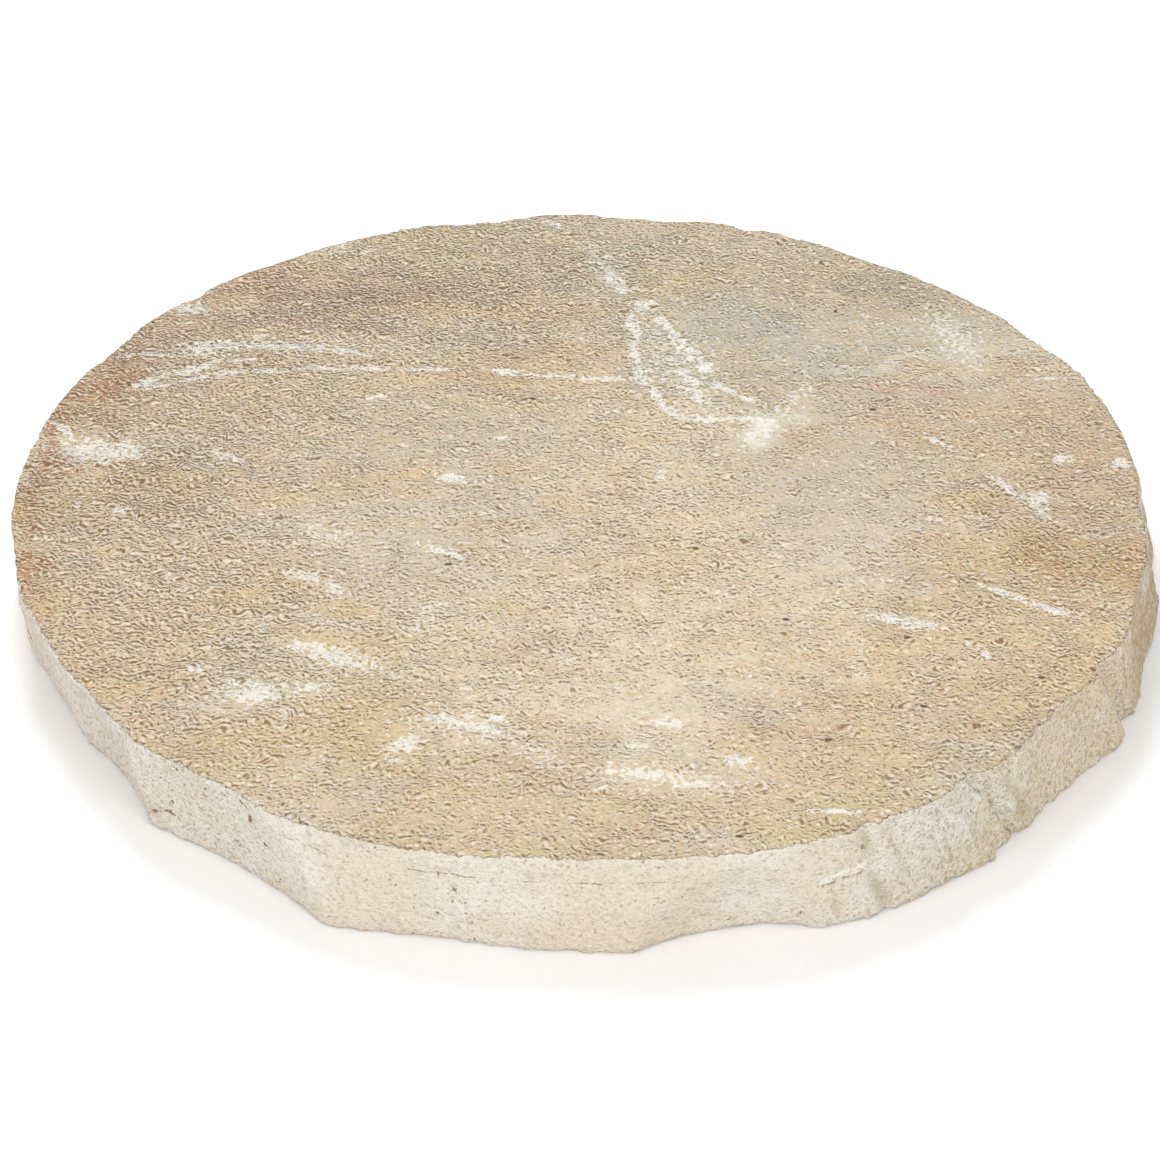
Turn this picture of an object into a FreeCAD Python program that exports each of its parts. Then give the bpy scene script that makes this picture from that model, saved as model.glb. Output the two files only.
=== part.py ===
import FreeCAD
import Part
import math
import os

# Round garden stepping stone: one piece of sandstone, split along its bedding and dressed round by hand.
#
# The mason scribes a circle on the flat tread and knocks the waste off with a hammer. The blows follow the
# circle closely at the tread, but the stone breaks unevenly below it: in places the edge flares out past the
# circle, and in others a flake runs in under the stone. Each blow leaves a dished scar, and two scars meet in
# a sharp ridge. Narrow flutes run down the edge where the stone parted along a joint.
#
# Millimetres. Z is up, the bed face lies on z = 0, and the scribed circle's centre is above the origin.
# A bearing is in degrees, anticlockwise from +X seen from above. A reach is how far a surface lies outside
# the scribed circle; it is negative inside the circle.

RIM_DIAMETER = 450.0  # the scribed circle
THICKNESS = 40.0  # bed face to tread face

# The broken edge before the flakes come off: bearing, reach at the tread, reach at the bed.
BROKEN_EDGE = [
    (-172, 0.8, 4.0),
    (-150, 0.5, 5.0),
    (-130, 1.0, 6.5),
    (-113, 1.5, 9.5),
    (-105, 1.2, 4.0),
    (-95, 0.5, 3.5),
    (-83, 0.8, 6.0),
    (-72, 3.8, 6.0),
    (-62, 3.8, 9.4),
    (-54, 2.4, 8.0),
    (-46, 1.0, 9.5),
    (-28, 0.8, 8.5),
    (-12, 0.0, 6.5),
    (4, 0.5, 11.5),
    (22, 5.0, 9.3),
    (48, 1.2, 9.0),
    (70, 1.8, 6.0),
    (93, 0.5, 8.5),
    (117, 0.8, 7.0),
    (140, 2.0, 9.0),
    (163, 1.5, 6.0),
]

# Flake scars: bearing, radius of the dish, reach at the tread, reach at the bed.
FLAKE_SCARS = [
    (-169, 420.0, -0.3, -3.0),
    (-154, 900.0, -0.3, -8.4),
    (-144, 120.0, -0.3, -9.2),
    (-126, 240.0, -0.5, -3.8),
    (-92, 900.0, -1.5, 4.0),
    (-77, 95.0, 6.0, -2.2),
    (-38, 190.0, -2.2, 2.6),
    (-16, 240.0, -1.6, 5.4),
    (-1, 60.0, -1.8, 8.0),
    (33, 210.0, 2.6, -1.4),
    (56, 150.0, -0.5, 1.8),
    (83, 260.0, -2.4, 1.0),
    (101, 180.0, -2.6, -4.0),
    (126, 300.0, 0.5, -6.0),
    (152, 190.0, 0.5, 0.0),
]

# Flutes, which run aslant: bearing at the tread, bearing at the bed, radius of the groove, reach at the
# tread, reach at the bed.
FLUTES = [
    (-64, -62, 9.0, 2.2, 8.7),
    (-53, -46.5, 11.0, -1.0, 4.2),
    (-30, -24.6, 7.0, -1.8, 4.4),
    (71, 67, 10.0, -0.6, 3.0),
    (138, 144, 9.0, -0.2, 4.5),
]

# Thin layers that came away from the bed face when the stone was split: depth, then the bearing and reach of
# each point of the outline. The positive reaches lie outside the stone, so the layer runs out at its edge.
LAYER_DEPTH = 1.6
LOST_LAYERS = [
    [(170, -130), (128, -141), (101, -93), (88, 35), (118, 75), (150, 65), (168, 25), (176, -65)],
    [(8, -53), (22, -97), (44, -113), (58, -75), (66, 30), (40, 75), (12, 45), (4, -10)],
]

RIM_RADIUS = RIM_DIAMETER / 2
BEYOND = 10.0  # how far a cutting tool runs past the faces it cuts


def at_bearing(bearing, distance, height):
    """The point that lies this far from the stone's axis, at this bearing and height."""
    angle = math.radians(bearing)
    return FreeCAD.Vector(distance * math.cos(angle), distance * math.sin(angle), height)


def closed_spline(points):
    curve = Part.BSplineCurve()
    curve.interpolate(points, PeriodicFlag=True)
    return Part.Wire(curve.toShape())


def rough_blank():
    """The stone as split: close to the scribed circle at the tread, and flared unevenly at the bed."""
    tread = closed_spline([at_bearing(bearing, RIM_RADIUS + reach, THICKNESS) for bearing, reach, _ in BROKEN_EDGE])
    bed = closed_spline([at_bearing(bearing, RIM_RADIUS + reach, 0) for bearing, _, reach in BROKEN_EDGE])
    return Part.makeLoft([bed, tread], True, True)


def flake(bearing, dish_radius, tread_reach, bed_reach):
    """A ball that leaves one dished scar. In the upright plane at its bearing, it passes through the two
    points that the reaches give, and its centre lies outside the stone."""
    out = (tread_reach + bed_reach) / 2
    lean = tread_reach - bed_reach
    slant = math.hypot(lean, THICKNESS)
    stand_off = math.sqrt(dish_radius**2 - (slant / 2) ** 2)
    centre_distance = RIM_RADIUS + out + stand_off * THICKNESS / slant
    centre_height = THICKNESS / 2 - stand_off * lean / slant
    ball = Part.makeSphere(dish_radius)
    ball.rotate(FreeCAD.Vector(0, 0, 0), FreeCAD.Vector(0, 0, 1), bearing)
    ball.translate(at_bearing(bearing, centre_distance, centre_height))
    return ball


def flute(tread_bearing, bed_bearing, groove_radius, tread_reach, bed_reach):
    """A leaning rod whose inner side leaves one narrow groove down the edge."""
    foot = at_bearing(bed_bearing, RIM_RADIUS + bed_reach + groove_radius, 0)
    head = at_bearing(tread_bearing, RIM_RADIUS + tread_reach + groove_radius, THICKNESS)
    way_up = (head - foot).normalize()
    return Part.makeCylinder(groove_radius, THICKNESS + 2 * BEYOND, foot - way_up * BEYOND, way_up)


def lost_layer(outline):
    """The sheet of stone that is missing from the bed face inside this outline."""
    edge = closed_spline([at_bearing(bearing, RIM_RADIUS + reach, -BEYOND) for bearing, reach in outline])
    return Part.Face(edge).extrude(FreeCAD.Vector(0, 0, BEYOND + LAYER_DEPTH))


def stepping_stone():
    flakes = [flake(*scar) for scar in FLAKE_SCARS]
    flutes = [flute(*groove) for groove in FLUTES]
    layers = [lost_layer(outline) for outline in LOST_LAYERS]
    return rough_blank().cut(flakes + flutes + layers)


os.makedirs("parts", exist_ok=True)
stone = stepping_stone()
stone.exportStep("parts/stepping_stone.step")
print("valid", stone.isValid(), "solids", len(stone.Solids), "litres", round(stone.Volume / 1e6, 3))
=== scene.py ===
import math

import bmesh
import bpy
import numpy as np
from mathutils import Matrix, Vector, noise


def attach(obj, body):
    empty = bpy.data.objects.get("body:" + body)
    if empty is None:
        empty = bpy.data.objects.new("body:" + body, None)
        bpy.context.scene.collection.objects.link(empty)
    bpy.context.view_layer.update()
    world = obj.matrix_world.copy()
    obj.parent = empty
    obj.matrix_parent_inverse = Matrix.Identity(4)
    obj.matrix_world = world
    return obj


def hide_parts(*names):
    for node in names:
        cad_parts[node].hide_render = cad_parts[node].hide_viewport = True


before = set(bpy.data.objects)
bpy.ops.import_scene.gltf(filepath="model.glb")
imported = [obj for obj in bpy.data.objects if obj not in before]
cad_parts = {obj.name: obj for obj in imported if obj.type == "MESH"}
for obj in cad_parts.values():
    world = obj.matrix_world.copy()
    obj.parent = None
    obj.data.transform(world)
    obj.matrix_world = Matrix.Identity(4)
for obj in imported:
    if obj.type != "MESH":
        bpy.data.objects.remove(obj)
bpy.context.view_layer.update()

# The camera stands about 1.3 m from the stone and looks down on it at 36 degrees, with a long lens.
# It leans a third of a degree, as a hand-held camera does.
camera = bpy.data.objects.new("camera", bpy.data.cameras.new("camera"))
camera.data.lens = 103.04
camera.data.sensor_width = 36.0
camera.data.clip_start = 0.05
camera.data.clip_end = 60.0
camera.location = (0.0, -1.0949, 0.7870)
lean = Matrix.Rotation(math.radians(54.17), 3, "X") @ Matrix.Rotation(math.radians(0.362), 3, "Z")
camera.rotation_euler = lean.to_euler()
bpy.context.scene.collection.objects.link(camera)
bpy.context.scene.camera = camera

# The stone is one round of sandstone, split along its bedding so that the tread and the bed are riven
# faces, and dressed round with a hammer. Its skin is cut fine enough to carry the riven relief, the
# steps and clefts of the broken edge, and the nicks along the arris.
SAME_PLACE = 0.00001  # corners of the solid that are this near to each other are one, in metres
SKIN = 0.00175  # the spacing of the skin's points, in metres
TRIANGLES = 194000  # what the whole skin is thinned to
THICK = 40.0  # from here on the stone is in millimetres
ROUND = 228.0  # a mean distance of the broken edge from the stone's middle
CORNER = 2.5  # how near to the tread or the bed the edge's points give the outline there
SECTORS = 720  # into which the outline is cut
PROUD = 0.15  # the most that anything stands out of the solid, in mm

# Lines on the broken edge, as points of bearing in degrees and depth below the tread. On a step, the
# stone stands proud on the left as one goes along the line. A step has a rise and a reach over which it
# fades out on each side; a cleft has a depth and a half-width.
STEPS = [
    ([(-45.8, 41), (-47.9, 28), (-49.3, 16.5), (-51.3, 7), (-52.5, -1)], 1.2, 8.0),
    ([(-25.8, 41), (-26.8, 29), (-28.0, 17), (-29.8, 7), (-31.5, -1)], 1.4, 5.0),
    ([(-25.6, 3), (-25.2, 16), (-25.3, 30)], 0.7, 3.0),
    ([(-63.8, 16.0), (-65.3, 18.0), (-66.8, 18.6), (-68.2, 20.5)], 1.2, 5.0),
    ([(-63.0, 41), (-60.6, 26), (-61.0, 12), (-62.5, 2)], 0.8, 6.0),
    ([(-119.0, 41), (-117.0, 24), (-116.0, 10)], 0.4, 8.0),
    ([(-137, 2), (-136, 16), (-134, 30), (-131, 41)], 0.6, 7.0),
    ([(24, 40), (22, 24), (25, 8), (24, -1)], 1.2, 8.0),
    ([(64, -1), (63, 14), (66, 30), (65, 41)], 1.1, 7.0),
    ([(112, 41), (110, 22), (113, -1)], 1.2, 9.0),
    ([(76, 22), (88, 19), (97, 24)], 0.9, 6.0),
    ([(150, 16), (160, 20), (168, 17)], 0.8, 6.0),
]
CLEFTS = [
    ([(-103, 9.2), (-98, 9.6), (-94, 10.8), (-90, 10.4), (-86, 10.2), (-83, 9.8)], 0.3, 0.9),
    ([(-64.0, 6), (-63.4, 10), (-63.2, 15)], 0.9, 1.5),
    ([(-63.4, 24), (-62.6, 30), (-61.8, 36)], 1.0, 2.0),
    ([(-67.0, 26), (-66.8, 32)], 0.8, 1.5),
    ([(-51.0, 8), (-49.2, 17), (-47.8, 28), (-46.0, 38)], 0.8, 0.9),
    ([(-29.0, 9), (-27.6, 19), (-26.5, 30), (-26.0, 38)], 1.1, 1.1),
    ([(-81, 27), (-80, 35)], 0.6, 1.2),
    ([(40, 11), (46, 12), (52, 10)], 0.5, 0.9),
    ([(120, 22), (130, 24), (137, 21)], 0.5, 0.9),
]


def across(bearing, depth, line):
    """How far each point of the edge lies to the left of a line on it, and how far from it at all."""
    run = np.radians(bearing) * ROUND
    nearest = np.full(len(run), 1e9)
    left = np.zeros(len(run))
    for (b0, d0), (b1, d1) in zip(line, line[1:]):
        s0, s1 = math.radians(b0) * ROUND, math.radians(b1) * ROUND
        ds, dd = s1 - s0, d0 - d1
        length = math.hypot(ds, dd)
        ps, pd = run - s0, d0 - depth
        along = np.clip((ps * ds + pd * dd) / length**2, 0, 1)
        gap = np.hypot(ps - along * ds, pd - along * dd)
        closer = gap < nearest
        nearest[closer] = gap[closer]
        left[closer] = ((ds * pd - dd * ps) / length)[closer]
    return left, nearest


def rough(points, size, octaves, stretch=(1.0, 1.0, 1.0), seed=0.0):
    """A smooth random value between about -1 and 1 for each point; size is its wavelength in mm."""
    shifted = points / (np.array(stretch) * size) + seed
    return np.array([noise.fractal(p, 1.0, 2.0, octaves) for p in shifted])


def fade(value, start, end):
    """0 at start and 1 at end, with a smooth passage."""
    t = np.clip((value - start) / (end - start), 0, 1)
    return t * t * (3 - 2 * t)


def skin_points(mesh):
    """The skin's points in millimetres, and the way each of them faces."""
    points = np.empty(len(mesh.vertices) * 3)
    mesh.vertices.foreach_get("co", points)
    facing = np.empty(len(mesh.vertices) * 3)
    mesh.vertex_normals.foreach_get("vector", facing)
    return points.reshape(-1, 3) * 1000, facing.reshape(-1, 3)


def outline(points, chosen):
    """The distance of the stone's outline from its middle, at each point's bearing."""
    bearing = np.degrees(np.arctan2(points[:, 1], points[:, 0]))
    reach = np.hypot(points[:, 0], points[:, 1])
    sector = np.floor((bearing + 180) * SECTORS / 360).astype(int) % SECTORS
    furthest = np.zeros(SECTORS)
    np.maximum.at(furthest, sector[chosen], reach[chosen])
    found = furthest > 0
    middles = (np.arange(SECTORS) + 0.5) * 360 / SECTORS - 180
    return np.interp(bearing, middles[found], furthest[found], period=360)


stone = bpy.data.objects.new("riven_stone", bpy.data.meshes.new("riven_stone"))
bpy.context.scene.collection.objects.link(stone)
blank = bmesh.new()
blank.from_mesh(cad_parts["stepping_stone"].data)
bmesh.ops.remove_doubles(blank, verts=blank.verts, dist=SAME_PLACE)
blank.to_mesh(stone.data)
blank.free()
bpy.context.view_layer.objects.active = stone
crust = stone.modifiers.new("crust", "REMESH")
crust.mode = "VOXEL"
crust.voxel_size = SKIN
crust.use_smooth_shade = True
bpy.ops.object.modifier_apply(modifier="crust")

points, facing = skin_points(stone.data)
x, y, z = points.T
depth = THICK - z
bearing = np.degrees(np.arctan2(y, x))
reach = np.hypot(x, y)
outward = np.column_stack([x / reach, y / reach, np.zeros(len(x))])
rim = outline(points, z > THICK - CORNER)
foot = outline(points, z < CORNER)

# How much of each point is edge, tread or bed. The low walls of the lost layers, which lie well inside the
# outline, count as bed.
edge = fade(-np.abs(facing[:, 2]), -0.85, -0.55) * fade(reach - np.minimum(rim, foot), -16.0, -10.0)
tread = np.where(z > THICK / 2, 1 - edge, 0.0)
bed = np.where(z < THICK / 2, 1 - edge, 0.0)

# The riven relief of the tread, as a depth in mm: slow swells, thin laminae that end in soft steps, and a
# coarse grain.
swell = rough(points, 110.0, 2, seed=3.1)
laminae = rough(points, 38.0, 3, (1.6, 1.0, 1.0), seed=8.4) * 3.0
laminae = (np.floor(laminae) + fade(laminae - np.floor(laminae), 0.35, 0.65)) / 3.0
pitting = rough(points, 6.5, 3, (1.25, 1.0, 1.0), seed=1.7)
low = 0.75 + 0.45 * swell + 0.35 * laminae + 0.42 * pitting
z = z - tread * np.clip(low, 0.0, 2.2)

# The bed is split in the same way, and coarser, but it hardly rises near its rim.
low = 0.9 + 0.7 * swell + 0.5 * rough(points, 30.0, 3, seed=5.5) + 0.3 * pitting
z = z + bed * np.clip(low, 0.0, 2.5) * (0.15 + 0.85 * fade(foot - reach, 2.0, 9.0))

# The broken edge, as a push outwards in mm, which is nearly always inwards: hammer facets, faint bedding that
# runs round it, upright streaks, and a fine grain. Then come the steps and clefts.
on_edge = edge > 0
work = points[on_edge]
facets = rough(work, 30.0, 2, seed=2.2)
bedding = rough(work, 4.5, 3, (9.0, 9.0, 1.0), seed=6.3)
streaks = rough(work, 6.0, 3, (1.0, 1.0, 5.0), seed=4.9)
torn = rough(work, 5.0, 4, seed=9.2)
streaky = 0.25 + 0.55 * fade(-np.abs(bearing[on_edge] + 39), -14, -6)
push = np.zeros(len(x))
push[on_edge] = -0.55 + 0.55 * facets + 0.26 * bedding + streaky * streaks + 0.40 * torn
for line, rise, run_out in STEPS:
    left, gap = across(bearing, depth, line)
    push += rise * np.tanh(left / 0.9) * np.exp(-gap / run_out)
for line, deep, half_width in CLEFTS:
    left, gap = across(bearing, depth, line)
    push -= deep * np.exp(-((gap / half_width) ** 2))
push = np.minimum(push, PROUD) * edge

# Nicks along the arris and the foot, where crumbs broke away.
around = outward * ROUND
crumbs = rough(around, 9.0, 3, seed=7.7)
nick = 0.35 + 1.6 * fade(crumbs, 0.05, 0.75)
from_arris = np.where(facing[:, 2] > 0.5, np.maximum(rim - reach, 0), depth)
bite = np.clip(nick - from_arris, 0, None)
push -= 0.55 * bite * fade(z, 25, 34)
z = z - 0.35 * bite * fade(z, 25, 34)
crumbs = rough(around, 14.0, 3, seed=12.3)
nick = 0.5 + 2.0 * fade(crumbs, 0.1, 0.8)
from_foot = np.where(facing[:, 2] < -0.5, np.maximum(foot - reach, 0), z)
bite = np.clip(nick - from_foot, 0, None)
push -= 0.6 * bite * edge * fade(-z, -14, -6)
z = z + 0.3 * bite * fade(-z, -14, -6)

# The rim of the bed draws in with the foot of the edge, so that the skin doesn't fold over there.
drawn_in = outline(points + outward * push[:, None], (points[:, 2] < CORNER) & (edge > 0.5)) - foot
push += bed * (drawn_in - 0.8) * fade(reach - foot, -11.0, 0.0)

points = np.column_stack([x, y, z]) + outward * push[:, None]
points[:, 2] = np.clip(points[:, 2], 0.0, THICK)
stone.data.vertices.foreach_set("co", (points / 1000).ravel())
stone.data.update()

# The bed is hidden and nearly flat, so its skin is thinned, apart from its rim.
hidden = stone.vertex_groups.new(name="bed")
hidden.add(np.flatnonzero((bed > 0.99) & (foot - reach > 6)).tolist(), 1.0, "REPLACE")
thinned = stone.modifiers.new("thinned", "DECIMATE")
thinned.vertex_group = "bed"
thinned.ratio = TRIANGLES / sum(len(face.vertices) - 2 for face in stone.data.polygons)
bpy.ops.object.modifier_apply(modifier="thinned")
stone.vertex_groups.clear()
stone.data.polygons.foreach_set("use_smooth", [True] * len(stone.data.polygons))

# What the colour needs to know about the finished skin: how much of it is broken edge, and how near the
# arris is.
points, facing = skin_points(stone.data)
depth = THICK - points[:, 2]
bearing = np.degrees(np.arctan2(points[:, 1], points[:, 0]))
reach = np.hypot(points[:, 0], points[:, 1])
rim = outline(points, depth < 3.5)
broken = fade(-facing[:, 2], -0.92, -0.55)
arris = np.exp(-np.hypot(np.maximum(rim - reach, 0), depth) / 2.0)
for name, values in (("broken", broken), ("arris", arris)):
    stone.data.attributes.new(name, "FLOAT", "POINT").data.foreach_set("value", values.astype(np.float32))


def shade(red, green, blue):
    """A colour as it looks, from 0 to 255, turned into the amounts of light that a shader needs."""
    parts = [v / 255 for v in (red, green, blue)]
    return [v / 12.92 if v <= 0.04045 else ((v + 0.055) / 1.055) ** 2.4 for v in parts] + [1.0]


def patch(place, turn, spans):
    """How deep inside a ragged patch each point of the skin is: 1 in its middle, 0.4 at its rim."""
    away = strayed - np.array(place)
    turned = math.radians(turn)
    along = away[:, 0] * math.cos(turned) + away[:, 1] * math.sin(turned)
    aside = away[:, 1] * math.cos(turned) - away[:, 0] * math.sin(turned)
    steps = np.sqrt((along / spans[0]) ** 2 + (aside / spans[1]) ** 2 + (away[:, 2] / spans[2]) ** 2)
    return np.clip(1 - 0.6 * steps, -1, 1) + mottle


THROUGH = 200  # the third half-width of a patch or mark that isn't meant to end below the tread

# The tread's weathering, patch by patch: place, bearing, half-length, half-width, colour and strength.
CLOUDS = [
    (110, 165, 0, 150, 55, (191, 177, 154), 0.65),
    (30, -75, 40, 130, 80, (223, 208, 182), 0.85),
    (25, 30, 0, 60, 42, (219, 204, 177), 0.75),
    (18, -130, 15, 38, 24, (221, 207, 184), 0.6),
    (-85, -30, -30, 66, 42, (206, 195, 178), 0.75),
    (-60, 45, 10, 64, 34, (196, 184, 162), 0.75),
    (-62, 120, 0, 44, 18, (204, 194, 176), 0.7),
    (-30, 192, 0, 80, 26, (194, 180, 156), 0.5),
    (-140, 60, 10, 90, 26, (206, 190, 162), 0.5),
    (60, 195, -8, 60, 22, (203, 192, 170), 0.6),
    (85, 108, -20, 84, 52, (183, 177, 170), 0.8),
    (162, 112, -80, 34, 16, (196, 190, 180), 0.6),
    (132, 99, 0, 26, 6, (220, 213, 200), 0.6),
    (62, 97, 0, 36, 7, (224, 215, 200), 0.5),
    (140, 165, -45, 40, 20, (174, 163, 145), 0.9),
    (100, -12, 12, 30, 50, (207, 195, 177), 0.8),
    (102, 24, 5, 60, 40, (195, 183, 163), 0.75),
    (-216, 30, 84, 66, 7, (176, 118, 88), 0.95),
    (-198, 84, 66, 36, 14, (172, 122, 92), 0.95),
    (-196, 48, 80, 34, 18, (176, 150, 120), 0.85),
    (-146, 160, 70, 36, 14, (196, 158, 128), 0.8),
    (-176, 128, 50, 34, 18, (186, 150, 118), 0.75),
    (-214, -60, 106, 60, 6, (188, 142, 104), 0.9),
    (-145, 128, 25, 80, 34, (178, 156, 131), 0.75),
    (-170, -110, -52, 64, 26, (211, 186, 150), 0.75),
    (-160, -60, -60, 64, 36, (214, 196, 166), 0.75),
    (-186, 2, 0, 40, 22, (190, 166, 126), 0.7),
    (194, -42, -10, 50, 27, (188, 147, 105), 0.95),
    (200, 20, 80, 70, 34, (190, 169, 141), 0.75),
    (30, -48, 0, 50, 18, (212, 194, 158), 0.6),
    (55, 98, -30, 34, 20, (180, 168, 148), 0.65),
    (160, -90, 40, 70, 36, (216, 194, 160), 0.6),
    (76, 50, 63, 16, 6.5, (230, 225, 213), 0.95),
    (134, 84, -12, 17, 5, (206, 158, 126), 0.85),
    (130, 47, -30, 12, 8, (208, 174, 148), 0.7),
    (168, 70, -10, 54, 26, (195, 179, 154), 0.65),
    (-95, -150, -20, 44, 16, (208, 184, 144), 0.6),
    (-20, -200, 0, 130, 26, (210, 192, 162), 0.7),
    (95, -165, 25, 60, 26, (212, 188, 154), 0.7),
    (97, -154, 0, 10, 4, (206, 170, 144), 0.45),
    (149, -167, 45, 4, 3, (206, 150, 92), 0.8),
    (39, -55, 80, 20, 11, (210, 190, 152), 0.7),
    (-106, 78, 0, 24, 12, (200, 190, 158), 0.6),
    (102, -102, 0, 10, 7, (236, 226, 206), 0.7),
    (-45, 196, 0, 26, 24, (196, 188, 148), 0.5),
    (-210, 11, 0, 5, 4, (190, 122, 66), 0.9),
]
# Patches where the grain is worn smooth. Where the last number is below 0, it is coarser than elsewhere.
WORN = [
    (92, 130, -8, 85, 36, 0.42),
    (166, 112, -80, 36, 18, 0.3),
    (79, 52, 60, 18, 10, 0.5),
    (-198, 29, 0, 18, 11, 0.8),
    (-92, -109, -22, 20, 7, 0.6),
    (-120, -131, -4, 16, 8, 0.6),
    (-63, -161, 20, 8, 5, 0.4),
    (23, -177, -4, 16, 4, 0.5),
    (-37, -151, -20, 12, 4, 0.3),
    (-170, 139, 10, 10, 7, 0.6),
    (182, -5, 60, 10, 6, 0.4),
    (100, -12, 12, 30, 50, 0.2),
    (72, -95, 60, 66, 34, 0.2),
    (18, -130, 15, 34, 22, 0.2),
    (-70, -35, -30, 40, 24, 0.15),
    (-60, 45, 10, 36, 20, 0.15),
    (105, 28, 5, 40, 18, 0.2),
    (-150, 90, 50, 130, 70, -0.5),
    (-170, -60, -60, 90, 60, -0.45),
    (-30, 160, 0, 80, 60, -0.3),
    (185, -30, 80, 70, 34, -0.15),
    (0, 165, 0, 200, 60, -0.3),
    (10, -175, 0, 160, 45, 0.15),
]
# The broken edge: place and height, bearing, half-widths, colour and strength. It is browner on the right.
EDGE_CLOUDS = [
    (-180, -125, 20, 0, (60, 60, 40), (238, 231, 220), 0.8),
    (205, -95, 20, 0, (40, 60, 50), (224, 205, 172), 0.8),
    (165, -150, 8, 0, (50, 50, 30), (222, 206, 176), 0.75),
    (218, -75, 14, 0, (16, 40, 40), (196, 170, 128), 0.85),
    (232, -15, 10, 0, (12, 60, 40), (190, 166, 134), 0.9),
    (180, -140, 20, 0, (60, 60, 60), (238, 222, 192), 0.5),
    (30, -225, 4, 0, (120, 12, 10), (226, 210, 188), 0.5),
]
# A patch's outline strays by this much, and is mottled besides.
strayed = points + 15.0 * np.column_stack([rough(points, 34.0, 4, seed=s) for s in (2.9, 6.1, 8.8)])
mottle = 0.32 * rough(points, 11.0, 4, (2.2, 1.0, 1.0), seed=3.7)
mottle += 0.22 * rough(points, 38.0, 2, (1.6, 1.0, 1.0), seed=7.2)
cloudy = fade(rough(points, 40.0, 4, seed=5.2), -0.5, 0.5)[:, None]
tread_tone = (1 - cloudy) * shade(194, 174, 144) + cloudy * shade(208, 190, 162)
for seed, paint in (
    (4.3, (213, 187, 147)),
    (6.7, (203, 192, 148)),
    (9.1, (206, 198, 184)),
    (1.3, (216, 192, 146)),
):
    share = 0.58 * fade(rough(points, 26.0, 4, (1.8, 1.0, 1.0), seed=seed), 0.05, 0.65)
    tread_tone += share[:, None] * (np.array(shade(*paint)) - tread_tone)
for along, back, turn, half_length, half_width, paint, strength in CLOUDS:
    share = strength * fade(patch((along, back, THICK), turn, (half_length, half_width, THROUGH)), 0.15, 0.95)
    tread_tone += share[:, None] * (np.array(shade(*paint)) - tread_tone)

# How coarse the grain is. On the edge it is coarser on the left, and again where the right side turns away.
coarse = 1 + 0.42 * rough(points, 9.0, 3, (1.5, 1.0, 1.0), seed=9.9)
for along, back, turn, half_length, half_width, strength in WORN:
    coarse -= strength * fade(patch((along, back, THICK), turn, (half_length, half_width, THROUGH)), 0.0, 1.0)
coarse = np.maximum(coarse, 0.5)
gritty = 1.0 + 0.3 * fade(-bearing, 112, 125) + 0.6 * fade(bearing, -72, -55) * fade(-bearing, -60, -20)
coarse = np.where(broken > 0.5, gritty, coarse)
stone.data.attributes.new("coarse", "FLOAT", "POINT").data.foreach_set("value", coarse.astype(np.float32))

# The edge is cream, and to the right its upright streaks get a brownish painted shade where their grooves lie
# deep.
edge_tone = (1 - cloudy) * shade(233, 221, 205) + cloudy * shade(241, 234, 223)
recess_shade = fade(-rough(points, 6.0, 3, (1.0, 1.0, 5.0), seed=4.9), 0.0, 0.6) * fade(bearing, -60, -40)
# Painted shade in the deep parts of the streak grooves.
edge_tone += 0.45 * recess_shade[:, None] * (np.array(shade(204, 186, 150)) - edge_tone)
for along, back, high, turn, spans, paint, strength in EDGE_CLOUDS:
    share = strength * fade(patch((along, back, high), turn, spans), 0.2, 0.75)
    edge_tone += share[:, None] * (np.array(shade(*paint)) - edge_tone)
for name, colours in (("tread_tone", tread_tone), ("edge_tone", edge_tone)):
    tone = stone.data.attributes.new(name, "FLOAT_COLOR", "POINT")
    tone.data.foreach_set("color", colours.astype(np.float32).ravel())

# Sandstone. The tread has weathered tan, with grey, olive and rusty clouds, and white mineral marks lie
# on it in scratches, veins and blotches. The broken edge is fresher, finer and paler.
sandstone = bpy.data.materials.new("sandstone")
sandstone.use_nodes = True
nodes = sandstone.node_tree.nodes
links = sandstone.node_tree.links
nodes.clear()


def feed(socket, value):
    if isinstance(value, bpy.types.NodeSocket):
        links.new(value, socket)
    else:
        socket.default_value = value


def reckon(operation, a, b=0.0, c=0.0, clamp=False):
    node = nodes.new("ShaderNodeMath")
    node.operation = operation
    node.use_clamp = clamp
    for socket, value in zip(node.inputs, (a, b, c)):
        feed(socket, value)
    return node.outputs[0]


def between(value, start, end, low=0.0, high=1.0):
    """low where the value is at start, high where it is at end, and a smooth passage between."""
    node = nodes.new("ShaderNodeMapRange")
    node.interpolation_type = "SMOOTHSTEP"
    for socket, number in zip(node.inputs, (value, start, end, low, high)):
        feed(socket, number)
    return node.outputs[0]


def tint(amount, under, over):
    """One colour laid over another, as thick as the amount says."""
    node = nodes.new("ShaderNodeMix")
    node.data_type = "RGBA"
    feed(node.inputs[0], amount)
    feed(node.inputs[6], under)
    feed(node.inputs[7], over)
    return node.outputs[2]


def vectors(operation, a, b=None, scale=None):
    node = nodes.new("ShaderNodeVectorMath")
    node.operation = operation
    feed(node.inputs[0], a)
    if b is not None:
        feed(node.inputs[1], b)
    if scale is not None:
        feed(node.inputs["Scale"], scale)
    return node.outputs["Vector"]


def speckle(where, size, detail, roughness, coloured=False, flat=False):
    """Noise whose lumps are about this many mm across; flat noise is for the tread alone."""
    node = nodes.new("ShaderNodeTexNoise")
    node.noise_dimensions = "2D" if flat else "3D"
    feed(node.inputs["Vector"], where)
    node.inputs["Scale"].default_value = 1.0 / size
    node.inputs["Detail"].default_value = detail
    node.inputs["Roughness"].default_value = roughness
    return node.outputs[1 if coloured else 0]


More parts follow.
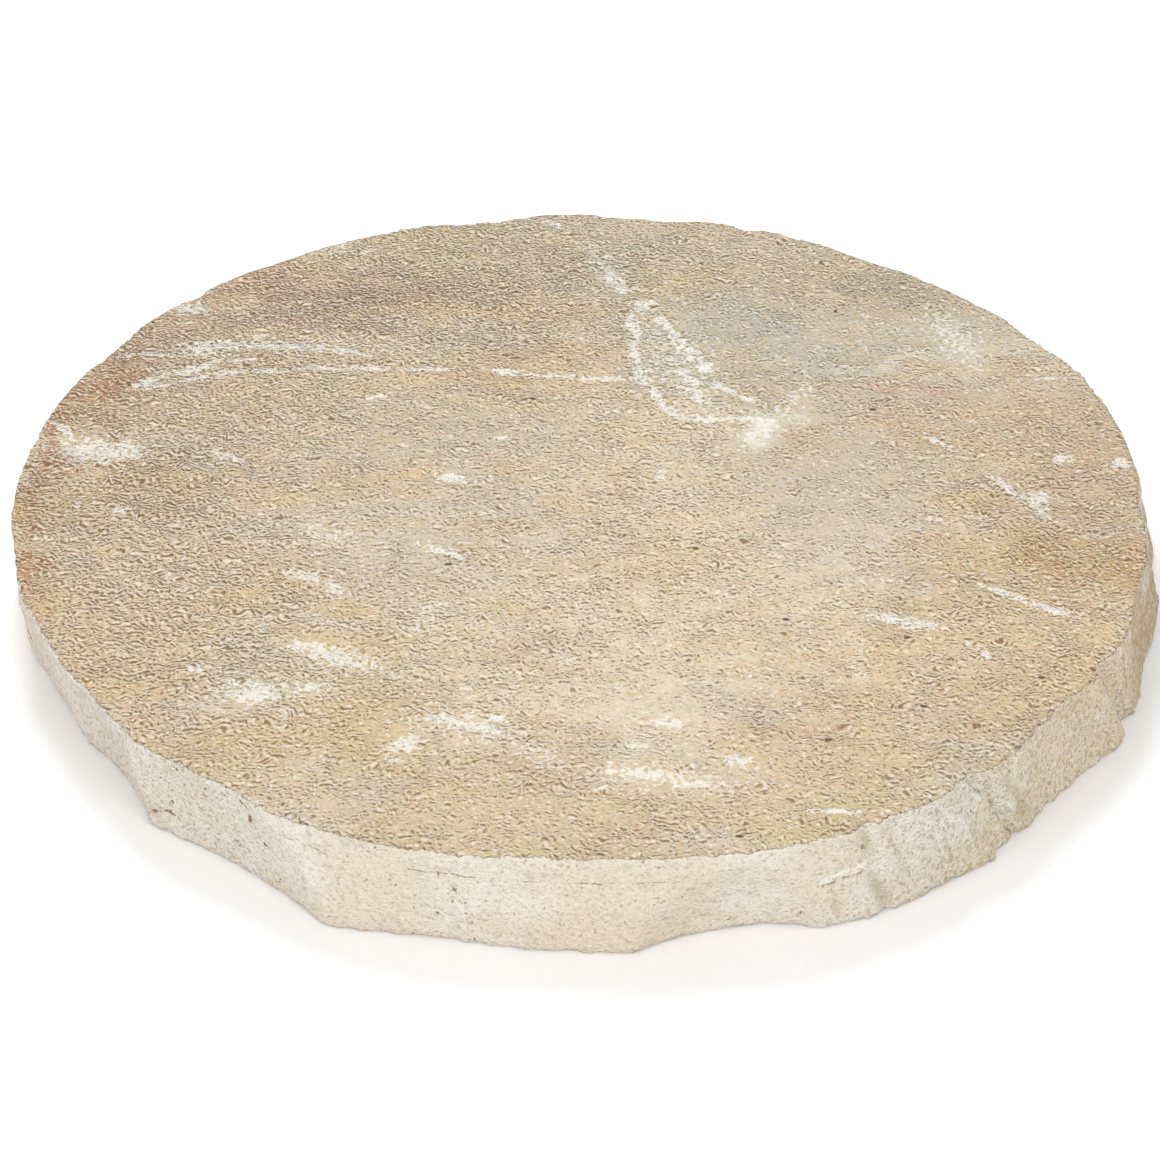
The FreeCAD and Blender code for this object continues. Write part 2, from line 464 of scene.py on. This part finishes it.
def placed(where, place, turn, spans, climb=0.0):
    """How deep inside a mark a point is: 1 in the mark's middle, 0.4 at its tip and sides, 0 well outside."""
    node = nodes.new("ShaderNodeTexGradient")
    node.gradient_type = "SPHERICAL"
    node.texture_mapping.vector_type = "TEXTURE"
    node.texture_mapping.translation = place
    node.texture_mapping.rotation = (0, -math.radians(climb), math.radians(turn))
    node.texture_mapping.scale = [span / 0.6 for span in spans]
    feed(node.inputs["Vector"], where)
    return node.outputs["Fac"]


def deepest(marks, where):
    """How deep a point is inside the nearest of these marks."""
    found = 0.0
    for along, back, turn, half_length, half_width in marks:
        inside = placed(where, (along, back, THICK), turn, (half_length, half_width, THROUGH))
        found = reckon("MAXIMUM", found, inside)
    return found


def skin_value(name, coloured=False):
    node = nodes.new("ShaderNodeAttribute")
    node.attribute_name = name
    return node.outputs["Color" if coloured else "Fac"]


def grain(where):
    """The swirling ridges of the grain, seen at this place. They are longer than they are wide."""
    node = nodes.new("ShaderNodeMapping")
    feed(node.inputs["Vector"], where)
    node.inputs["Scale"].default_value = (0.64, 0.72, 1.0)
    return speckle(node.outputs[0], 1.0, 0.5, 0.55, flat=True)


here = vectors("SCALE", nodes.new("ShaderNodeTexCoord").outputs["Object"], scale=1000.0)
wander = vectors("SUBTRACT", speckle(here, 8.0, 1.0, 0.6, coloured=True), (0.5, 0.5, 0.5))
wandering = vectors("ADD", here, vectors("SCALE", wander, scale=4.0))

# The grain: short swirling ridges of sand. Their slopes that face back, towards the lamp behind the stone,
# get a painted highlight, and those that face forward get a painted shade.
swirled = vectors("ADD", here, vectors("SCALE", wander, scale=7.0))
ridges = grain(swirled)
behind = grain(vectors("ADD", swirled, (0.3, 0.9, 0.0)))
crumb = speckle(here, 1.0, 0.0, 0.6)
fleck = speckle(here, 5.5, 2.0, 0.62, flat=True)
crusty = skin_value("coarse")
slope = reckon("MULTIPLY", reckon("SUBTRACT", ridges, behind), crusty)
# Painted shade on slopes that face away from the lamp behind, and painted highlight on slopes that face it.
shaded_slope = between(slope, -0.07, -0.35)
lit_slope = between(slope, 0.07, 0.36)

# The white marks: place, bearing, half-length and half-width. Veins and scratches are long and thin.
MARKS = [
    (-184, 101.5, 0, 17, 1.5),
    (-160, 102, 0, 12, 1.5),
    (-158.5, 108.5, 0, 12, 4.8),
    (-127, 109, -4, 25, 3.0),
    (-98, 106, -20, 9, 2.5),
    (-137, 117, 0, 5, 1.7),
    (-182, 79.5, 42, 9, 2.5),
    (-163, 91, 27, 14, 2.5),
    (-145, 98, 5, 6, 1.3),
    (-180, 76.5, 15, 9, 1.9),
    (-163, 83, 24, 10, 1.9),
    (-147, 88, 10, 8, 1.8),
    (-132.5, 90, 5, 9, 1.9),
    (-111, 92, 2, 11, 1.4),
    (-90, 93, 0, 10, 1.8),
    (-65, 92, 0, 14, 1.5),
    (-31, 90, -10, 8, 1.9),
    (-11, 87.5, -4, 12, 1.6),
    (11, 85.5, -2, 13, 2.1),
    (26.5, 82, -40, 5, 2.2),
    (31.5, 72.5, -77, 8, 2.1),
    (36, 61.5, -56, 7, 2.3),
    (43, 55.5, -20, 6, 2.3),
    (53, 54.5, 5, 8, 2.0),
    (67, 54.5, -4, 9, 2.0),
    (94, 77, 25, 4, 1.4),
    (14, 166, -64, 11, 3.6),
    (26.5, 144, 60, 6, 4.6),
    (22, 128, -80, 10, 2.4),
    (22.5, 108, -88, 11, 2.2),
    (25.5, 90, -70, 8, 2.6),
    (35, 131, -70, 6, 3.0),
    (40, 119, -64, 9, 3.0),
    (46, 106, -62, 9, 3.4),
    (51.5, 95, -62, 6, 3.8),
    (45, 86, -60, 7, 2.6),
    (49, 72, -60, 9, 3.0),
    (60, 77, -40, 8, 2.8),
    (69, 70, -30, 6, 1.6),
    (-211.5, 43.5, -50, 8, 1.8),
    (-84, 70, 30, 4.5, 1.6),
    (-51.5, 10, -10, 7, 2.8),
    (-32, 39.5, 5, 4, 1.1),
    (-13, 215, -40, 6, 1.7),
    (-96, 190, 20, 3, 1.6),
    (170, 7, -52, 9, 1.9),
    (197.5, 87, 0, 8, 1.4),
    (145.5, 39.5, -45, 7, 1.4),
    (32, 13, 60, 3.5, 2.0),
    (-103, -102, 0, 5, 1.4),
    (-30, -146, 10, 4, 1.9),
    (-48, -147.5, -15, 5, 2.0),
    (-54, -40, -25, 9, 2.6),
    (-182, -14, 0, 3.5, 2.1),
    (-199, -10, 90, 2.5, 1.2),
    (-41, -128, 0, 2.2, 1.4),
    (124, -85, -20, 14, 3.4),
    (8, -186, 0, 2.6, 1.4),
    (91, -198, -4, 9, 1.4),
    (151, -105, -60, 4, 1.5),
    (161, -65, -30, 12, 1.5),
    (180, -77, -28, 10, 1.8),
]
# The softer blotches, where the white film is thin.
BLOTCHES = [
    (-199, 28, 0, 13, 9),
    (-192, 25, 0, 16, 5),
    (-184, 31, -10, 9, 3.5),
    (-170, 139, 10, 8, 5.0),
    (-144, 24.5, -30, 8, 2.2),
    (181, -2, 10, 6, 4.6),
    (183, -10, -80, 8, 2.8),
    (218.5, 24, 10, 5, 3.2),
    (196, 26, 0, 4.5, 3.2),
    (-106, -58, -25, 7, 3.2),
    (-94, -66, -35, 6, 2.8),
    (-92, -109, -22, 17, 4.8),
    (-120, -131, -4, 13, 6.2),
    (-98, -127, 14, 6, 2.2),
    (-63, -161, 20, 6.5, 4.2),
    (-66, -170, 0, 4, 1.7),
    (-52, -145, 0, 4, 2.6),
    (-37, -151, -20, 11, 3.0),
    (-142, -118, 0, 3.5, 2.1),
    (32, -148, 0, 4.5, 3.1),
    (57, -169, -15, 6, 3.4),
    (23, -177, -4, 13, 2.6),
    (42, -183, 0, 8, 2.4),
]
# Smears of white dust, which is too thin to hide the grain but leaves chips of white in it.
SMEARS = [
    (-125, 110, 0, 40, 6),
    (88, 68, 55, 14, 4),
    (76, 49, 60, 16, 7),
    (40, 98, -72, 46, 15),
    (10, 178, -66, 26, 8),
    (-107, -145, 75, 8, 3),
    (-14, -167, -38, 15, 5),
    (-120, -89, 75, 7, 4),
    (-131, -101, 0, 7, 3),
    (-56, -78, 60, 6, 4),
    (-62, -91, 20, 6, 4),
    (-5, -109, -50, 7, 4),
    (20, -160, 70, 7, 4),
    (-115, -130, 0, 22, 10),
    (-90, -110, -20, 24, 8),
    (-40, -150, -15, 22, 8),
    (30, -179, -4, 30, 7),
    (-196, 30, 0, 24, 14),
    (-108, 194, 30, 10, 4),
    (160, 118, -75, 30, 8),
    (-100, -30, 0, 10, 6),
]
chips = speckle(here, 2.5, 1.0, 0.55, flat=True)
in_smear = deepest(SMEARS, wandering)
ragged = reckon("MULTIPLY_ADD", chips, 1.8, reckon("MULTIPLY", fleck, 0.6))


def film(marks, thickness):
    """The white film of these marks, which breaks up among the grains at its rim."""
    inside = deepest(marks, wandering)
    share = between(reckon("ADD", inside, ragged), 1.58, 1.74, 0.0, thickness)
    return reckon("MULTIPLY", share, between(inside, 0.0, 0.3))


mark = reckon("MAXIMUM", film(MARKS, 1.0), film(BLOTCHES, 0.86))
smear = reckon("MULTIPLY", in_smear, between(fleck, 0.35, 0.6), clamp=True)
chip = between(reckon("MULTIPLY_ADD", in_smear, 0.24, chips), 0.68, 0.75)

SANDY, OLIVE = shade(208, 180, 138), shade(197, 187, 142)
# The colours of the painted highlight and the painted shade on the grain's slopes.
PAINTED_HIGHLIGHT, PAINTED_SHADE = shade(248, 240, 225), shade(116, 84, 48)
CHALK, THIN_CHALK = shade(240, 235, 227), shade(232, 224, 210)
tread_colour = skin_value("tread_tone", coloured=True)
tread_colour = tint(between(fleck, 0.53, 0.74, 0.0, 0.42), tread_colour, SANDY)
tread_colour = tint(between(fleck, 0.47, 0.28, 0.0, 0.55), tread_colour, OLIVE)
tread_colour = tint(reckon("MULTIPLY", smear, 0.25), tread_colour, THIN_CHALK)
# Painted highlight on the grain's slopes that face the lamp behind.
tread_colour = tint(reckon("MULTIPLY", lit_slope, 0.58), tread_colour, PAINTED_HIGHLIGHT)
chalky = reckon("MAXIMUM", mark, reckon("MULTIPLY", chip, 0.7))
tread_colour = tint(reckon("MULTIPLY", chalky, 0.85), tread_colour, CHALK)
# Painted shade on the grain's slopes that face away from that lamp, weaker inside the white marks.
grain_shade = reckon("MULTIPLY", shaded_slope, between(mark, 0.0, 1.0, 0.75, 0.45))
tread_colour = tint(grain_shade, tread_colour, PAINTED_SHADE)

# Iron specks, each with its place, bearing and two half-widths.
IRON = [
    (-51, -49, 0, 1.7, 1.1),
    (121, 63, 0, 1.6, 1.1),
    (110, 140, 80, 1.8, 0.8),
    (-20, 69, 0, 1.5, 0.9),
    (45, -38, 0, 1.5, 0.9),
    (78, -84, 0, 1.6, 1.0),
    (126, -137, 0, 1.7, 1.0),
    (171, -119, 0, 1.5, 1.0),
    (56, -211, 0, 1.7, 1.0),
    (123, -95, 0, 1.3, 0.9),
    (90, -157, 0, 1.5, 1.0),
]
tread_colour = tint(between(deepest(IRON, here), 0.3, 0.6, 0.0, 0.85), tread_colour, shade(84, 52, 36))

# The broken edge: cream, with pinkish and greyish lumps and with light and dark grains.
side_grain = speckle(here, 1.7, 2.0, 0.65)
side_lumps = speckle(here, 5.0, 2.0, 0.6)
PINKISH, GREYISH = shade(240, 224, 206), shade(212, 202, 182)
DARK_GRAIN, LIGHT_GRAIN = shade(176, 150, 108), shade(253, 247, 238)
side_colour = skin_value("edge_tone", coloured=True)
side_colour = tint(between(side_lumps, 0.54, 0.70, 0.0, 0.5), side_colour, PINKISH)
side_colour = tint(between(side_lumps, 0.46, 0.30, 0.0, 0.5), side_colour, GREYISH)
grit = reckon("MULTIPLY", reckon("SUBTRACT", side_grain, 0.5), crusty)
side_colour = tint(between(grit, -0.04, -0.26, 0.0, 0.55), side_colour, DARK_GRAIN)
side_colour = tint(between(grit, 0.03, 0.24, 0.0, 0.6), side_colour, LIGHT_GRAIN)

# What is drawn on the edge, as lines of bearing and depth below the tread, each with its half-width: thin
# cracks, darkened as painted shade in their clefts and at the feet of the steps, painted shade in the
# hollows, painted highlights along the edges of steps and ledges, and rust stains.
# Cracks, drawn dark as painted shade inside them and at the feet of the steps beside them.
SHADED_CRACKS = [
    ([(-51.4, 6.5), (-49.4, 15.5), (-48.4, 21), (-47.5, 30), (-46.0, 39)], 0.75),
    ([(-29.6, 7), (-28.0, 16), (-26.9, 27), (-26.1, 38)], 0.9),
    ([(-25.4, 4), (-25.0, 28)], 0.5),
    ([(-68.0, 20.6), (-66.8, 19.4), (-65.2, 19.2), (-64.0, 17.6)], 0.55),
    ([(-105.6, 10.2), (-102.1, 9.8), (-98.0, 10.3)], 0.4),
    ([(-96.0, 10.8), (-93.0, 11.4)], 0.3),
    ([(-90.6, 11.0), (-86.0, 10.6), (-80.5, 10.0)], 0.3),
    ([(-118.0, 9.0), (-115.2, 8.6), (-112.2, 10.4)], 0.4),
    ([(-64.2, 9.6), (-64.0, 10.6)], 0.9),
    ([(-86.0, 32.5), (-85.3, 35.6)], 0.6),
]
# Painted shade in the edge's hollows and scoops.
SHADED_HOLLOWS = [
    ([(-64.1, 6), (-63.4, 15)], 2.2),
    ([(-63.2, 24), (-62.0, 36)], 3.2),
    ([(-67.0, 26), (-66.8, 33)], 1.8),
    ([(-47.2, 12), (-43.4, 38)], 3.4),
]
# Painted highlights along the edges of the steps and ledges.
STEP_HIGHLIGHTS = [
    ([(-52.0, 7), (-50.2, 15)], 1.3),
    ([(-68.0, 19.2), (-66.8, 18.0), (-65.3, 17.6), (-64.0, 16.0)], 1.0),
    ([(-30.4, 6), (-28.7, 16), (-27.4, 28)], 0.7),
    ([(-25.9, 3), (-25.6, 27)], 0.6),
]
RUST = [
    ([(-131.1, 21.6), (-131.2, 22.4)], 0.9),
    ([(-131.2, 26.6), (-132.4, 28.6)], 0.9),
    ([(-131.0, 29.0), (-132.0, 27.2)], 0.7),
    ([(-132.6, 29.4), (-134.4, 31.6)], 0.7),
    ([(-133.4, 31.4), (-134.6, 34.0)], 0.6),
    ([(-122.4, 3.4), (-121.4, 5.6)], 0.9),
    ([(-121.3, 8.6), (-121.4, 13.0)], 1.0),
    ([(-119.8, 19.6), (-119.0, 20.2)], 0.9),
    ([(-129.8, 2.8), (-129.7, 3.6)], 0.8),
    ([(-163.4, 23.0), (-162.7, 27.0)], 1.1),
]
SINK = 30  # how far a drawn line reaches into the stone, so that no dish of the edge leaves it behind


def drawn(lines):
    """How deep a point of the edge is inside the nearest of these lines."""
    found = 0.0
    for line, half_width in lines:
        for (b0, d0), (b1, d1) in zip(line, line[1:]):
            middle = math.radians((b0 + b1) / 2)
            run, rise = math.radians(b1 - b0) * ROUND, d0 - d1
            spans = (math.hypot(run, rise) / 2 + half_width, SINK, half_width)
            place = (ROUND * math.cos(middle), ROUND * math.sin(middle), THICK - (d0 + d1) / 2)
            climb = math.degrees(math.atan2(rise, run))
            found = reckon("MAXIMUM", found, placed(jittered, place, math.degrees(middle) + 90, spans, climb))
    return found


jittered = vectors("ADD", here, vectors("SCALE", wander, scale=1.6))
uneven = reckon("MULTIPLY_ADD", side_grain, 1.0, reckon("MULTIPLY", side_lumps, 0.8))
# Painted shade in the hollows and cracks, painted highlights along the steps, and the rust stains, laid on in
# turn.
for lines, raggedness, start, end, strength, paint in (
    (SHADED_HOLLOWS, 2.6, 2.7, 3.3, 0.4, (176, 154, 108)),
    (STEP_HIGHLIGHTS, 2.2, 2.42, 2.72, 0.7, (253, 249, 242)),
    (RUST, 2.2, 2.45, 2.8, 0.85, (140, 92, 52)),
    (SHADED_CRACKS, 2.2, 2.45, 2.8, 0.6, (122, 100, 68)),
):
    share = between(reckon("MULTIPLY_ADD", uneven, raggedness, drawn(lines)), start, end)
    side_colour = tint(reckon("MULTIPLY", share, strength), side_colour, shade(*paint))
# A painted highlight along the arris.
ARRIS_HIGHLIGHT = shade(246, 238, 225)
side_colour = tint(between(skin_value("arris"), 0.25, 0.85, 0.0, 0.5), side_colour, ARRIS_HIGHLIGHT)

# The line where the tread ends and the edge begins follows the grain.
edge_share = between(reckon("MULTIPLY_ADD", crumb, 0.7, skin_value("broken")), 0.77, 0.97)
stone_colour = tint(edge_share, tread_colour, side_colour)

# The fine relief, in millimetres: deep and crumbly on the tread, shallow on the edge.
tread_relief = reckon("MULTIPLY_ADD", crumb, 0.8, reckon("MULTIPLY", ridges, 1.3))
tread_relief = reckon("MULTIPLY", tread_relief, crusty)
side_relief = reckon("MULTIPLY", grit, 1.8)
relief = nodes.new("ShaderNodeMix")
feed(relief.inputs[0], edge_share)
feed(relief.inputs[2], tread_relief)
feed(relief.inputs[3], side_relief)
bump = nodes.new("ShaderNodeBump")
bump.inputs["Distance"].default_value = 0.001
bump.inputs["Strength"].default_value = 1.0
feed(bump.inputs["Height"], relief.outputs[0])

surface = nodes.new("ShaderNodeBsdfPrincipled")
feed(surface.inputs["Base Color"], stone_colour)
surface.inputs["Roughness"].default_value = 0.92
surface.inputs["Specular IOR Level"].default_value = 0.25
feed(surface.inputs["Normal"], bump.outputs[0])
feed(nodes.new("ShaderNodeOutputMaterial").inputs["Surface"], surface.outputs[0])

stone.data.materials.clear()
stone.data.materials.append(sandstone)
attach(stone, "root")
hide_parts("stepping_stone")

# The floor is a wide round of white paper, on which the stone lies. It looks white to the camera, and to
# everything else it is a little darker, so that it throws no more light back on the stone than paper does.
PAPER = (0.72, 0.71, 0.69, 1.0)
WHITE = (1.0, 1.0, 1.0, 1.0)
floor_round = bmesh.new()
bmesh.ops.create_circle(floor_round, cap_ends=True, segments=64, radius=12.0)
floor = bpy.data.objects.new("floor", bpy.data.meshes.new("floor"))
floor_round.to_mesh(floor.data)
floor_round.free()
bpy.context.scene.collection.objects.link(floor)
paper = bpy.data.materials.new("white_paper")
paper.use_nodes = True
nodes = paper.node_tree.nodes
links = paper.node_tree.links
sheet = nodes["Principled BSDF"]
sheet.inputs["Roughness"].default_value = 1.0
sheet.inputs["Specular IOR Level"].default_value = 0.0
seen = nodes.new("ShaderNodeLightPath").outputs["Is Camera Ray"]
feed(sheet.inputs["Base Color"], tint(seen, PAPER, WHITE))
floor.data.materials.append(paper)

# Soft studio light: an even sky, a lamp high behind the stone that picks out the grain, and a weak one on
# each side in front for the broken edge.
sky = bpy.data.worlds.new("sky")
sky.use_nodes = True
bpy.context.scene.world = sky
nodes = sky.node_tree.nodes
links = sky.node_tree.links
dome = nodes["Background"]
seen = nodes.new("ShaderNodeLightPath").outputs["Is Camera Ray"]
feed(dome.inputs["Strength"], between(seen, 0.0, 1.0, 0.66, 1.0))
dome.inputs["Color"].default_value = WHITE
for name, place, size, power in (
    ("back_lamp", (-0.4, 1.5, 2.2), 0.9, 30.0),
    ("left_lamp", (-2.1, -1.8, 1.4), 1.3, 24.0),
    ("right_lamp", (1.6, -2.2, 1.4), 1.3, 27.0),
):
    lamp = bpy.data.objects.new(name, bpy.data.lights.new(name, "AREA"))
    lamp.data.shape = "DISK"
    lamp.data.size = size
    lamp.data.energy = power
    lamp.location = place
    lamp.rotation_euler = Vector(place).to_track_quat("Z", "Y").to_euler()
    bpy.context.scene.collection.objects.link(lamp)

bpy.context.scene.view_settings.view_transform = "Standard"
